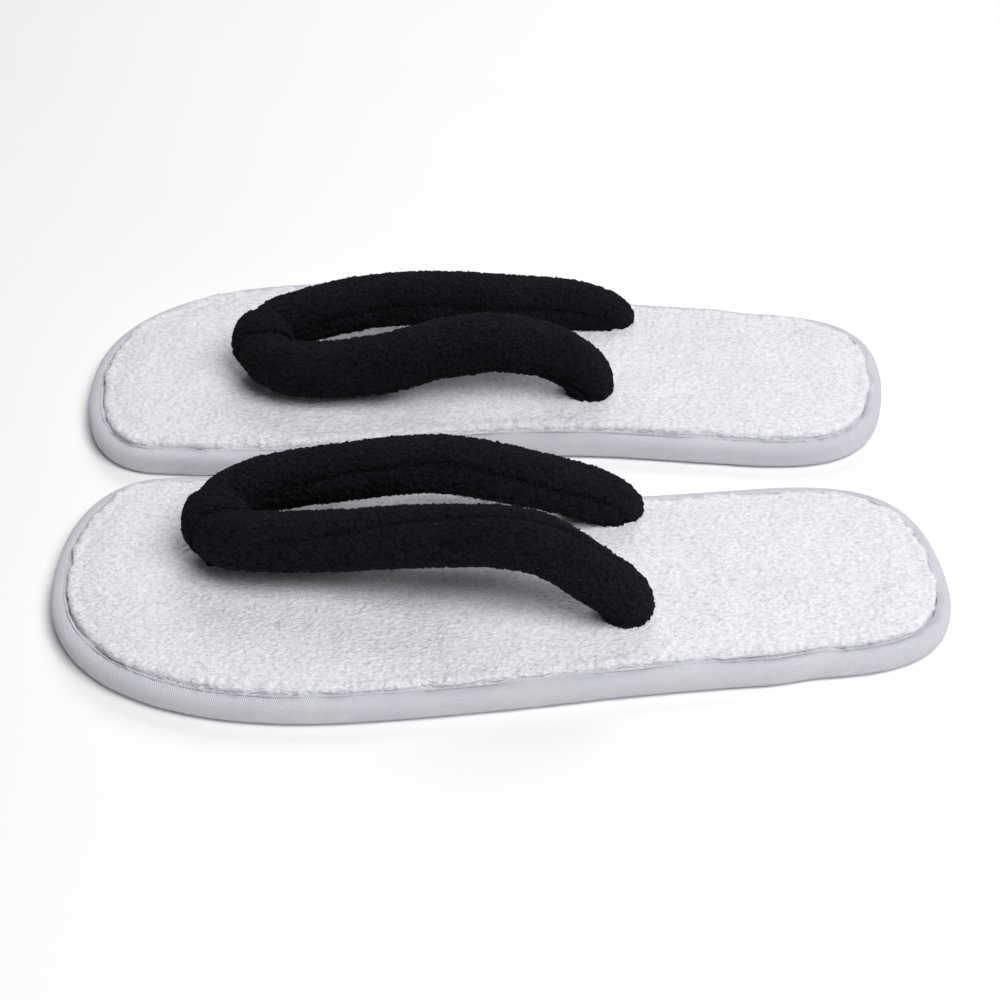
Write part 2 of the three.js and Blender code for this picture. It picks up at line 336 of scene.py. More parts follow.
def bump(nodes, links, height, shader, distance, strength=1.0, after=None):
    node = add(nodes, "ShaderNodeBump", Distance=distance, Strength=strength)
    links.new(height, node.inputs["Height"])
    if after is not None:
        links.new(after, node.inputs["Normal"])
    links.new(node.outputs["Normal"], shader.inputs["Normal"])
    return node.outputs["Normal"]


def stretched(nodes, links, scale, turn=0.0, source=None):
    """Coordinates in metres from the object, or from a source, turned and scaled."""
    mapping = add(nodes, "ShaderNodeMapping")
    mapping.inputs["Rotation"].default_value = (0, 0, turn)
    mapping.inputs["Scale"].default_value = scale
    if source is None:
        source = nodes.new("ShaderNodeTexCoord").outputs["Object"]
    links.new(source, mapping.inputs["Vector"])
    return mapping.outputs["Vector"]


def noise(nodes, links, vector, scale, detail=2.0, rough=0.5):
    node = add(nodes, "ShaderNodeTexNoise", Scale=scale, Detail=detail, Roughness=rough)
    links.new(vector, node.inputs["Vector"])
    return node.outputs["Fac"]


def pile_material(name, crease_shade, tip, mottle, sheen, cell, turn, fibre_bump, clump_bump):
    """Pile fabric, its colour painted dark in its creases as shade and light at its tips. A loop is about one
    cell across, and turn is the direction that its pile lies in."""
    material, nodes, links, shader = node_material(name)
    height = add(nodes, "ShaderNodeAttribute", attribute_name="pile").outputs["Fac"]
    loops = add(nodes, "ShaderNodeTexVoronoi", Scale=1.0, feature="SMOOTH_F1", Smoothness=0.35)
    warp = noise(nodes, links, stretched(nodes, links, (0.6 / cell,) * 3), 1, 2)
    place_at = stretched(nodes, links, (0.62 / cell, 1.25 / cell, 1 / cell), turn)
    shifted = nodes.new("ShaderNodeVectorMath")
    shifted.operation = "ADD"
    links.new(place_at, shifted.inputs[0])
    links.new(warp, shifted.inputs[1])
    links.new(shifted.outputs[0], loops.inputs["Vector"])
    dome = maths(nodes, links, "SUBTRACT", 0.9, loops.outputs["Distance"])
    fine = stretched(nodes, links, (0.9 / cell, 3.2 / cell, 1.6 / cell), turn)
    fibres = noise(nodes, links, fine, 1, 3, 0.6)
    patches = noise(nodes, links, stretched(nodes, links, (60, 60, 60)), 1, 3)
    depth = maths(nodes, links, "ADD", maths(nodes, links, "MULTIPLY", height, 0.3),
                  maths(nodes, links, "MULTIPLY", maths(nodes, links, "ADD", dome, fibres), 0.35))
    # Painted shade: the colour darkens from the tips down into the creases between loops and tufts.
    colour = ramp(nodes, links, depth, crease_shade, tip, 0.2, 0.62)
    shade = ramp(nodes, links, patches, mottle, (1, 1, 1), 0.34, 0.62)
    links.new(mixed(nodes, links, colour, shade, 1.0, "MULTIPLY"), shader.inputs["Base Color"])
    links.new(ramp(nodes, links, fibres, (0.82,) * 3, (1.0,) * 3), shader.inputs["Roughness"])
    shader.inputs["Specular IOR Level"].default_value = 0.08
    shader.inputs["Sheen Weight"].default_value = sheen[0]
    shader.inputs["Sheen Roughness"].default_value = sheen[1]
    shader.inputs["Sheen Tint"].default_value = (*sheen[2], 1)
    first = bump(nodes, links, dome, shader, clump_bump, 1.0)
    bump(nodes, links, fibres, shader, fibre_bump, 1.0, first)
    return material


def twill_material():
    """Bias-cut twill tape: fine ribs on the slant, crossed by a finer weft."""
    material, nodes, links, shader = node_material("white_twill")
    cloth = add(nodes, "ShaderNodeAttribute", attribute_name="cloth").outputs["Vector"]
    split = nodes.new("ShaderNodeSeparateXYZ")
    links.new(cloth, split.inputs[0])
    along, across = split.outputs[0], split.outputs[1]

    def lines(pitch, slant):
        turned = maths(nodes, links, "ADD", along, maths(nodes, links, "MULTIPLY", across, slant))
        wave = maths(nodes, links, "SINE", maths(nodes, links, "MULTIPLY", turned, 2 * math.pi / pitch))
        return maths(nodes, links, "ADD", maths(nodes, links, "MULTIPLY", wave, 0.5), 0.5)

    ribs = lines(0.00062, 0.45)
    weft = lines(0.00045, -2.2)
    weave = maths(nodes, links, "ADD", maths(nodes, links, "MULTIPLY", ribs, 0.7),
                  maths(nodes, links, "MULTIPLY", weft, 0.3))
    slubs = noise(nodes, links, stretched(nodes, links, (300, 1800, 1), 0.3, cloth), 1, 2)
    stains = noise(nodes, links, stretched(nodes, links, (40, 40, 40)), 1, 2)
    colour = ramp(nodes, links, weave, (0.60, 0.60, 0.66), (0.88, 0.88, 0.93), 0.1, 0.8)
    shade = ramp(nodes, links, maths(nodes, links, "ADD", maths(nodes, links, "MULTIPLY", slubs, 0.5),
                                    maths(nodes, links, "MULTIPLY", stains, 0.5)),
                 (0.92, 0.92, 0.94), (1, 1, 1), 0.35, 0.6)
    links.new(mixed(nodes, links, colour, shade, 1.0, "MULTIPLY"), shader.inputs["Base Color"])
    links.new(ramp(nodes, links, slubs, (0.62,) * 3, (0.82,) * 3), shader.inputs["Roughness"])
    shader.inputs["Specular IOR Level"].default_value = 0.3
    shader.inputs["Sheen Weight"].default_value = 0.12
    first = bump(nodes, links, slubs, shader, 0.00012, 0.8)
    bump(nodes, links, weave, shader, 0.00022, 1.0, first)
    return material


def thread_material(name, dark, light):
    """Twisted sewing thread."""
    material, nodes, links, shader = node_material(name)
    twist = add(nodes, "ShaderNodeTexWave", Scale=1.0, Distortion=1.5, wave_type="BANDS",
                bands_direction="DIAGONAL")
    links.new(stretched(nodes, links, (900, 900, 900)), twist.inputs["Vector"])
    fuzz = noise(nodes, links, stretched(nodes, links, (3000, 3000, 3000)), 1, 2)
    links.new(ramp(nodes, links, twist.outputs["Fac"], dark, light, 0.2, 0.8), shader.inputs["Base Color"])
    links.new(ramp(nodes, links, fuzz, (0.55,) * 3, (0.8,) * 3), shader.inputs["Roughness"])
    bump(nodes, links, twist.outputs["Fac"], shader, 0.00015)
    return material


def foam_material(name, dark, light, cell, rough):
    """Foam: small open cells over a soft unevenness."""
    material, nodes, links, shader = node_material(name)
    cells = add(nodes, "ShaderNodeTexVoronoi", Scale=1.0, feature="F1")
    links.new(stretched(nodes, links, (1 / cell,) * 3), cells.inputs["Vector"])
    blotch = noise(nodes, links, stretched(nodes, links, (90, 90, 90)), 1, 3)
    shade = maths(nodes, links, "ADD", maths(nodes, links, "MULTIPLY", cells.outputs["Distance"], 0.5),
                  maths(nodes, links, "MULTIPLY", blotch, 0.6))
    links.new(ramp(nodes, links, shade, dark, light, 0.2, 0.75), shader.inputs["Base Color"])
    links.new(ramp(nodes, links, blotch, (rough - 0.12,) * 3, (rough,) * 3), shader.inputs["Roughness"])
    bump(nodes, links, cells.outputs["Distance"], shader, cell * 0.35, 0.6)
    return material


def board_material():
    """Pressed fibre board."""
    material, nodes, links, shader = node_material("fibre_board")
    fibres = noise(nodes, links, stretched(nodes, links, (300, 1500, 900), 0.4), 1, 4, 0.65)
    flecks = noise(nodes, links, stretched(nodes, links, (700, 700, 700)), 1, 2)
    colour = ramp(nodes, links, fibres, (0.40, 0.30, 0.18), (0.66, 0.54, 0.37), 0.3, 0.7)
    fleck = ramp(nodes, links, flecks, (0.7, 0.66, 0.6), (1, 1, 1), 0.34, 0.42)
    links.new(mixed(nodes, links, colour, fleck, 1.0, "MULTIPLY"), shader.inputs["Base Color"])
    links.new(ramp(nodes, links, flecks, (0.8,) * 3, (0.95,) * 3), shader.inputs["Roughness"])
    bump(nodes, links, fibres, shader, 0.0002, 0.7)
    return material


# The direction that the fleece lies in, in radians.
LAY = 0.6

# The first colour of each pile is the painted shade in its creases.
FLEECE = pile_material("white_fleece", (0.62, 0.60, 0.65), (0.94, 0.925, 0.96), (0.97, 0.965, 0.975),
                       (0.12, 0.5, (1, 1, 1)), 0.0009, LAY, 0.0003, 0.0004)
TERRY = pile_material("black_terry", (0.0004, 0.0003, 0.0007), (0.0118, 0.0110, 0.0150), (0.75, 0.75, 0.75),
                      (0.02, 0.5, (0.8, 0.8, 1.0)), 0.0009, 0.0, 0.0004, 0.0007)
TWILL = twill_material()
WHITE_THREAD = thread_material("white_thread", (0.50, 0.53, 0.62), (0.80, 0.82, 0.88))
BLACK_THREAD = thread_material("black_thread", (0.012, 0.012, 0.015), (0.05, 0.05, 0.06))
EVA = foam_material("eva_outsole", (0.70, 0.70, 0.73), (0.84, 0.84, 0.87), 0.0005, 0.75)
MIDSOLE = foam_material("midsole_foam", (0.80, 0.79, 0.74), (0.92, 0.91, 0.87), 0.0008, 0.95)
CORE = foam_material("strap_foam", (0.10, 0.10, 0.11), (0.22, 0.22, 0.24), 0.0008, 0.95)
BOARD = board_material()


# ---------------------------------------------------------------- sole

OUTLINE, GIRTH = sole_outline(1400)
INWARD = inward(OUTLINE)


def middle_of(side):
    """Where a slipper's own origin lies, from the box of its edge binding in the CAD model."""
    low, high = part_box(side + "_edge_binding")
    hand = SIDES[side]
    turn = hand * TOE_OUT
    x, y = OUTLINE[:, 0], OUTLINE[:, 1] * hand
    c, s = math.cos(turn), math.sin(turn)
    turned = np.stack([c * x - s * y, s * x + c * y], 1) * MM
    centre = (turned.min(0) + turned.max(0)) / 2
    return np.array([(low.x + high.x) / 2 - centre[0], (low.y + high.y) / 2 - centre[1], 0])


MIDDLE = {side: middle_of(side) for side in SIDES}


def clipped_grid(step, margin):
    """A square grid inside the outline moved in by margin: points, quads, distances in from the outline, the
    rim's points in order, and the outline's nearest points. The rim lies on the moved outline."""
    low, high = OUTLINE.min(0) - step, OUTLINE.max(0) + step
    xs = np.arange(low[0], high[0], step)
    ys = np.arange(low[1], high[1], step)
    x, y = np.meshgrid(xs, ys, indexing="ij")
    points = np.stack([x.ravel(), y.ravel()], 1)
    away, nearest = edge_distance(points, OUTLINE[::3])
    quads = grid_faces(len(xs), len(ys))
    inside = away[quads].mean(1) > margin
    quads = quads[inside]
    used, index = np.unique(quads, return_inverse=True)
    quads = index.reshape(-1, 4)
    points, away, nearest = points[used], away[used], nearest[used]
    rim = rim_loop(quads)
    toward = points[rim] - nearest[rim]
    toward = toward / np.linalg.norm(toward, axis=1)[:, None] * np.sign(away[rim])[:, None]
    points[rim] = nearest[rim] + toward * margin
    away[rim] = margin
    return points, quads, away, rim, nearest


def rim_loop(quads):
    """The points on a grid's rim, in order round it."""
    after = {}
    edges = set()
    for quad in quads.tolist():
        for a, b in zip(quad, quad[1:] + quad[:1]):
            if (b, a) in edges:
                edges.remove((b, a))
            else:
                edges.add((a, b))
    for a, b in edges:
        after[a] = b
    start = min(after)
    loop = [start]
    while after[loop[-1]] != start:
        loop.append(after[loop[-1]])
    return np.array(loop)


def crown(inner, base, top, reach=CROWN_REACH):
    """Height of a crowned pad at a distance in from its edge."""
    t = np.clip(inner / reach, 0, 1)
    return base + (top - base) * np.sqrt(1 - (1 - t) ** 2)


def closed_underside(points, rim, quads, rings):
    """Adds rings that follow the rim inwards, at (inset from the rim, height), and closes the last one."""
    flat = points[rim][:, :2]
    count = len(rim)
    pulled = -inward(flat) if area_of(flat) < 0 else inward(flat)
    for k in (0, 1):
        pulled[:, k] = smoothed(pulled[:, k], 12)
    pulled = pulled / np.linalg.norm(pulled, axis=1)[:, None]
    all_points, all_faces = [points], [list(q) for q in quads.tolist()]
    previous = rim
    start = len(points)
    for inset, height in rings:
        ring = flat + pulled * inset
        all_points.append(np.column_stack([ring, np.full(count, height)]))
        current = start + np.arange(count)
        for i in range(count):
            j = (i + 1) % count
            all_faces.append([previous[j], previous[i], current[i], current[j]])
        previous = current
        start += count
    all_faces.append(list(previous[::-1]))
    return np.vstack(all_points), all_faces


def area_of(loop):
    x, y = loop[:, 0], loop[:, 1]
    return (x * np.roll(y, -1) - y * np.roll(x, -1)).sum() / 2


def inflated(points, faces, pinned, slack, pressure, cap):
    """How far a cloth simulation moves each point of a sheet held at its pinned points and blown up from
    inside, in millimetres along its own normals. No point moves further than cap."""
    mesh = bpy.data.meshes.new("inflated")
    mesh.from_pydata((points * MM).tolist(), [], faces.tolist())
    sheet = bpy.data.objects.new("inflated", mesh)
    bpy.context.scene.collection.objects.link(sheet)
    held = sheet.vertex_groups.new(name="held")
    held.add([int(i) for i in pinned], 1.0, "REPLACE")
    cloth = sheet.modifiers.new("cloth", "CLOTH")
    cloth.settings.quality = 5
    cloth.settings.mass = 0.15
    cloth.settings.tension_stiffness = 10
    cloth.settings.compression_stiffness = 10
    cloth.settings.shear_stiffness = 4
    cloth.settings.bending_stiffness = 0.3
    cloth.settings.vertex_group_mass = "held"
    cloth.settings.use_pressure = True
    cloth.settings.uniform_pressure_force = pressure
    cloth.settings.shrink_min = -slack
    cloth.settings.effector_weights.gravity = 0
    cloth.point_cache.frame_start = 1
    cloth.point_cache.frame_end = SIM_FRAMES
    for step in range(1, SIM_FRAMES + 1):
        bpy.context.scene.frame_set(step)
    result = sheet.evaluated_get(bpy.context.evaluated_depsgraph_get()).to_mesh()
    moved = np.zeros(len(points) * 3)
    result.vertices.foreach_get("co", moved)
    sheet.to_mesh_clear()
    bpy.data.objects.remove(sheet)
    bpy.data.meshes.remove(mesh)
    bpy.context.scene.frame_set(1)
    shift = moved.reshape(-1, 3) / MM - points
    return np.clip((shift * vertex_normals(points, faces)).sum(1), -cap, cap)


def from_table(table, row, column, wrap=False):
    """Values between the entries of a table, at fractional rows and columns."""
    r = np.clip(row, 0, table.shape[0] - 1.001)
    r0 = r.astype(int)
    c = column % table.shape[1] if wrap else np.clip(column, 0, table.shape[1] - 1.001)
    c0 = c.astype(int) % table.shape[1]
    c1 = (c0 + 1) % table.shape[1]
    fr, fc = r - r0, c - np.floor(c)
    fr, fc = fr * fr * (3 - 2 * fr), fc * fc * (3 - 2 * fc)
    upper = table[r0, c0] * (1 - fc) + table[r0, c1] * fc
    lower = table[r0 + 1, c0] * (1 - fc) + table[r0 + 1, c1] * fc
    return upper * (1 - fr) + lower * fr


SIM_FRAMES = 20
PAD_SIM_STEP = 4.0
PAD_SLACK = 0.001
PAD_PRESSURE = 0.05
PAD_CAP = 0.8


def simulated_swell(flat):
    """The pad's soft unevenness, from a simulation of its cover stitched down all round and filled."""
    coarse, quads, inner, rim, _ = clipped_grid(PAD_SIM_STEP, LIP + 0.3)
    heights = crown(inner - LIP - 0.3, BINDING_TOP - 0.5, FLEECE_TOP)
    puff = inflated(np.column_stack([coarse, heights]), quads, rim, PAD_SLACK, PAD_PRESSURE, PAD_CAP)
    puff[rim] = 0
    origin = OUTLINE.min(0) - PAD_SIM_STEP
    cells = np.round((coarse - origin) / PAD_SIM_STEP).astype(int)
    table = np.zeros(cells.max(0) + 3)
    kept = np.ones(len(coarse), bool)
    kept[rim] = False
    table[cells[kept, 0], cells[kept, 1]] = puff[kept]
    at = (flat - origin) / PAD_SIM_STEP
    return from_table(table, at[:, 0], at[:, 1])


FLEECE_STEP = 0.56
FLEECE_GRID = clipped_grid(FLEECE_STEP, 4.0)
PAD_SWELL = simulated_swell(FLEECE_GRID[0])


def fleece_pad(side, seed):
    """The insole cover: a crowned pad of short plush pile, whose edge tufts lean over the binding."""
    flat, quads, inner, rim, nearest = FLEECE_GRID
    d = inner - LIP
    spread = np.column_stack([flat, np.zeros(len(flat))])
    c, s = math.cos(LAY), math.sin(LAY)
    lay = np.column_stack([(c * flat[:, 0] + s * flat[:, 1]) / 1.5, (c * flat[:, 1] - s * flat[:, 0]) / 0.85,
                           np.zeros(len(flat))])
    warp = np.column_stack([smooth_noise(spread, 3.1, seed + 40), smooth_noise(spread, 3.1, seed + 41),
                            np.zeros(len(flat))])
    pile = tufts(lay + 0.35 * warp, 1.0, seed, flat=True)
    clumps = layered_noise(spread, 5.5, seed + 10)
    swell = layered_noise(spread, 34, seed + 20)
    free = np.clip((d - 0.3) / 1.2, 0, 1)
    z = np.where(d > 0.3, crown(d - 0.3, BINDING_TOP - 0.5, FLEECE_TOP), COVER_EDGE_TOP)
    z = z + free * (0.6 * pile + 0.2 * clumps + 0.3 * swell * np.clip(d / 12, 0, 1) + PAD_SWELL)
    # The pile swells and clumps where it meets the tape.
    near_edge = np.exp(-((d - 2.0) / 1.5) ** 2)
    wave = layered_noise(spread, 8.5, seed + 31, 2)
    rim_tufts = tufts(spread + 0.5 * warp, 2.3, seed + 60, flat=True)
    z = z + free * near_edge * (0.3 + 0.8 * rim_tufts + 0.6 * wave)
    lean = 0.5 * free * pile
    xy = flat + np.column_stack([lean * c * 0.6, -lean * 0.8])
    # Tufts at the edge lean out over the binding's lip, unevenly.
    spill = 0.8 + 1.5 * wave + 0.9 * rim_tufts + 0.4 * smooth_noise(spread, 1.6, seed + 30)
    out = np.clip(1 - np.abs(d - 1.4) / 1.4, 0, 1) * spill
    direction = nearest - flat
    direction = direction / np.maximum(np.linalg.norm(direction, axis=1), 1e-6)[:, None]
    xy = xy + direction * out[:, None]
    points = np.column_stack([xy, z])
    points[rim, 2] = (COVER_BASE + COVER_EDGE_TOP) / 2
    rings = [(0.3, COVER_BASE), (1.9, COVER_BASE)]
    reach = CROWN_REACH - 1
    for t in (0.1, 0.25, 0.45, 0.7, 1.0):
        rings.append((2.9 + reach * t, float(crown(np.array(reach * t), COVER_BASE, CROWN_BASE, reach))))
    points, faces = closed_underside(points, rim, quads, rings)
    # This drives the painted crease shade: the colour darkens where the pile is low, and at the edge tucked
    # under the tape and on the underside.
    shade = np.concatenate([pile * free + (1 - free) * 0.3, np.full(len(points) - len(pile), 0.3)])
    pad = make_piece(side + "_fleece_pad", side, points, faces, FLEECE, {"pile": shade})
    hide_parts(side + "_insole_cover")
    return pad


STITCH_PITCH = GIRTH / round(GIRTH / 3.2)
STITCH_INSET = 4.6


def arc(centre, radius, start, end, n):
    angles = np.radians(np.linspace(start, end, n))
    return [(centre[0] - radius * math.cos(a), centre[1] + radius * math.sin(a)) for a in angles]


def edge_tape(side, seed):
    """The binding: twill tape folded round the edge, puckered where it turns the toe and the heel."""
    rounding, thick = 3.4, 0.9
    low, high = rounding, BINDING_TOP - rounding
    outer = [(LIP, 0.0), (4.6, 0.0)] + arc((rounding, low), rounding, -90, 0, 7)
    outer += [(0, low + (high - low) * t) for t in (0.33, 0.66)]
    outer += arc((rounding, high), rounding, 0, 90, 8)
    # The lip dips under its stitches.
    outer += [(4.1, BINDING_TOP - 0.05), (STITCH_INSET, BINDING_TOP - 0.22), (5.1, BINDING_TOP - 0.1),
              (5.5, BINDING_TOP - 0.05)]
    tip = [(LIP + 0.1, BINDING_TOP - 0.3), (LIP, BINDING_TOP - 0.75)]
    inner = [(4.6, BINDING_TOP - thick)] + arc((rounding, high), rounding - thick, 90, 0, 5)
    inner += arc((rounding, low), rounding - thick, 0, -90, 5) + [(4.6, thick), (LIP, thick - 0.1)]
    profile = np.array(outer + tip + inner)
    lengths = np.concatenate([[0], np.cumsum(np.linalg.norm(np.diff(profile, axis=0), axis=1))])
    around = len(OUTLINE)
    station = np.arange(around) / around * GIRTH
    # Tight turns gather the tape.
    heading = np.unwrap(np.arctan2(INWARD[:, 1], INWARD[:, 0]))
    bend = np.abs(np.gradient(heading, GIRTH / around))
    gather = smoothed(np.clip(bend / 0.022, 0, 1), 40)
    ring = np.column_stack([OUTLINE, np.zeros(around)])
    slow = smooth_noise(ring, 9.5, seed)
    fold = smooth_noise(ring, 3.2, seed + 1)
    edge = smooth_noise(ring, 7.5, seed + 2) + 0.4 * smooth_noise(ring, 3.0, seed + 3)
    stitch = 0.5 + 0.5 * np.cos(2 * math.pi * station / STITCH_PITCH)
    rows = []
    for k, (inset, height) in enumerate(profile):
        top = np.clip((height - 5.0) / 3.5, 0, 1)
        lip = np.clip((inset - 2.6) / 3.0, 0, 1)
        visible = k < len(outer) + 1
        moved = inset + top * lip * (0.8 * edge + 0.3 * gather * fold)
        lift = top * lip * (0.3 * slow + 0.28 * edge + 0.32 * gather * fold)
        lift = height + lift * (1 if visible else 0.6)
        if visible:
            lift = lift - top * 0.16 * stitch * np.exp(-((inset - STITCH_INSET) / 0.5) ** 2)
            moved = moved - 0.12 * slow * (1 - lip) * np.sin(np.pi * np.clip(height / BINDING_TOP, 0, 1))
        rows.append(np.column_stack([OUTLINE + INWARD * moved[:, None], np.maximum(lift, 0)]))
    points = np.vstack(rows)
    count = len(profile)
    faces = grid_faces(count, around, closed_rows=True, closed_columns=True)
    corner_values = []
    total = lengths[-1]
    for first, *_ in faces.tolist():
        row, column = divmod(first, around)
        next_row = lengths[row + 1] if row + 1 < count else total + 0.8
        x0, x1 = station[column], station[column] + GIRTH / around
        corner_values.append([(x0 * MM, lengths[row] * MM, 0), (x0 * MM, next_row * MM, 0),
                              (x1 * MM, next_row * MM, 0), (x1 * MM, lengths[row] * MM, 0)])
    tape = make_piece(side + "_edge_tape", side, points, faces[:, ::-1].tolist(), TWILL,
                      corners=[c[::-1] for c in corner_values])
    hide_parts(side + "_edge_binding")
    return tape


def edge_stitches(side):
    """The lockstitch that holds the tape: short threads that dip into it at each end."""
    count = round(GIRTH / STITCH_PITCH)
    around = len(OUTLINE)
    sides, steps, radius = 6, 7, 0.26
    points, faces = [], []
    for k in range(count):
        for i in range(steps):
            t = i / (steps - 1)
            station = (k + 0.5 + (t - 0.5) * 0.86) / count * around
            a = int(station) % around
            f = station - int(station)
            centre = OUTLINE[a] * (1 - f) + OUTLINE[(a + 1) % around] * f + INWARD[a] * STITCH_INSET
            height = BINDING_TOP - 0.10 + 0.14 * math.sin(math.pi * t)
            size = radius * (0.35 + 0.65 * math.sin(math.pi * min(max(t, 0.04), 0.96)) ** 0.5)
            for j in range(sides):
                angle = 2 * math.pi * j / sides
                side_way = INWARD[a] * size * math.cos(angle)
                rise = height + size * math.sin(angle)
                points.append((centre[0] + side_way[0], centre[1] + side_way[1], rise))
        base = k * steps * sides
        faces += (grid_faces(steps, sides, closed_columns=True)[:, ::-1] + base).tolist()
        faces.append([base + j for j in range(sides)])
        faces.append([base + (steps - 1) * sides + j for j in range(sides)][::-1])
    thread = make_piece(side + "_edge_stitches", side, np.array(points), faces, WHITE_THREAD)
    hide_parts(side + "_binding_thread")
    return thread


GRIP_GRID = clipped_grid(0.9, LIP + 0.5)


def grip_sole(side):
    """The outsole: a thin sheet whose floor side carries small raised dots."""
    flat, quads, inner, rim, _ = GRIP_GRID
    pitch = 4.4
    row = flat[:, 1] / (pitch * math.sqrt(3) / 2)
    near = np.full(len(flat), 9.0)
    for dr in (0, 1):
        r = np.floor(row) + dr
        shift = np.where(r.astype(int) % 2 == 0, 0.0, 0.5)
        column = np.round(flat[:, 0] / pitch - shift) + shift
        near = np.minimum(near, np.hypot(flat[:, 0] - column * pitch, (row - r) * pitch * math.sqrt(3) / 2))
    dots = np.clip((1.45 - near) / 0.7, 0, 1)
    dots = dots * dots * (3 - 2 * dots)
    z = 0.55 * (1 - dots * (inner > LIP + 2.5))
    points = np.column_stack([flat, z])
    points[rim, 2] = 0.45
    rings = [(-0.15, 0.9), (-0.1, 1.25), (-2.5, 1.3), (-2.6, OUTSOLE_TOP)]
    under, faces = closed_underside(points, rim, quads, rings)
    sole = make_piece(side + "_grip_sole", side, under, [f[::-1] for f in faces], EVA)
    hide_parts(side + "_outsole")
    return sole


# ---------------------------------------------------------------- strap

def catmull_rom(points, per_span=24):
    """A centripetal Catmull-Rom curve through the points."""
    p = np.asarray(points, float)
    p = np.vstack([2 * p[0] - p[1], p, 2 * p[-1] - p[-2]])
    made = []
    for a, b, c, d in zip(p, p[1:], p[2:], p[3:]):
        t0, t1, t2 = (max(np.linalg.norm(v - u) ** 0.5, 1e-4) for u, v in ((a, b), (b, c), (c, d)))
        m1 = ((b - a) / t0 - (c - a) / (t0 + t1) + (c - b) / t1) * t1
        m2 = ((c - b) / t1 - (d - b) / (t1 + t2) + (d - c) / t2) * t1
        t = np.linspace(0, 1, per_span, endpoint=False)[:, None]
        made.append(b + m1 * t + (3 * (c - b) - 2 * m1 - m2) * t ** 2 + (2 * (b - c) + m1 + m2) * t ** 3)
    return np.vstack(made + [p[-2:-1]])


def strap_route(side):
    """The strap's centreline, from the lateral end round the bend to the medial end. Heights are from the
    floor."""
    strap = STRAPS[side]
    front, aside = strap["bend"]
    bend = []
    for degrees in (-90, -45, 0, 45, 90):
        a = math.radians(degrees)
        shoulder = strap["shoulders"][0 if degrees < 0 else 1]
        bend.append((front + BEND_ROUNDING * (1 - math.cos(a)), aside + BEND_ROUNDING * math.sin(a),
                     BEND_HEIGHT + (shoulder - BEND_HEIGHT) * (1 - math.cos(a))))
    route = catmull_rom(strap["lateral"] + bend + strap["medial"][::-1])
    route[:, 2] += INSOLE_TOP
    return route


class Tube:
    """A route with a frame that doesn't twist. At the bend's tip, angle 0 is the front and 90 degrees is
    up."""

    def __init__(self, side, step):
        raw = strap_route(side)
        length = np.linalg.norm(np.diff(raw, axis=0), axis=1).sum()
        self.line, self.length = evenly(raw, int(length / step) + 1, closed=False)
        self.at = np.linspace(0, self.length, len(self.line))
        tangent = np.gradient(self.line, axis=0)
        self.tangent = tangent / np.linalg.norm(tangent, axis=1)[:, None]
        self.tip = int(np.argmin(self.line[:, 0]))
        self.front = np.zeros_like(self.line)
        self.front[self.tip] = self.squared(np.array([-1.0, 0, 0]), self.tip)
        for i in range(self.tip + 1, len(self.line)):
            self.front[i] = self.squared(self.front[i - 1], i)
        for i in range(self.tip - 1, -1, -1):
            self.front[i] = self.squared(self.front[i + 1], i)
        self.up = np.cross(self.tangent, self.front)
        if self.up[self.tip, 2] < 0:
            self.up = -self.up

    def squared(self, vector, i):
        flat = vector - self.tangent[i] * (vector @ self.tangent[i])
        return flat / np.linalg.norm(flat)

    def sample(self, s, values):
        return np.stack([np.interp(s, self.at, values[:, k]) for k in range(3)], -1)

    def point(self, s, angle, radius):
        """Points at a station, an angle and a distance from the centreline."""
        centre, front, up = (self.sample(s, v) for v in (self.line, self.front, self.up))
        return centre + radius[..., None] * (np.cos(angle)[..., None] * front + np.sin(angle)[..., None] * up)


# Thickness of the strap along each arm from its end to the bend, as (share of the way, radius).
RADII = {
    "left": {"lateral": [(0, 8.2), (0.12, 8.7), (0.35, 9.3), (0.6, 9.4), (0.85, 9.2), (1, 8.8)],
             "medial": [(0, 8.2), (0.12, 8.8), (0.35, 9.0), (0.6, 8.8), (0.85, 8.7), (1, 8.8)]},
    "right": {"lateral": [(0, 8.3), (0.12, 8.9), (0.35, 9.5), (0.6, 9.3), (0.85, 9.0), (1, 8.8)],
              "medial": [(0, 8.2), (0.12, 9.0), (0.35, 9.9), (0.6, 10.0), (0.85, 9.6), (1, 8.8)]},
}
# Where the seam lies round the sleeve, as (share of the way from the end to the bend, degrees up from level),
# on the camera's side of each arm.
SEAMS = {
    "left": {"lateral": [(0, 110), (0.25, 95), (0.45, 80), (0.65, 60), (0.85, 38), (1, 25)],
             "medial": [(0, 30), (0.25, 30), (0.45, 40), (0.7, 30), (0.9, 12), (1, -5)]},
    "right": {"lateral": [(0, 20), (0.3, 20), (0.6, 16), (0.85, 4), (1, -10)],
              "medial": [(0, -30), (0.5, -35), (1, -40)]},
}


# The seam fades into the pile before this share of the way to the bend.
SEAM_END = 0.93
TUBE_SIM_SIDES = 20
TUBE_SIM_STEP = 3.0
TUBE_SLACK = 0.003
TUBE_PRESSURE = 4.0
TUBE_CAP = 0.7


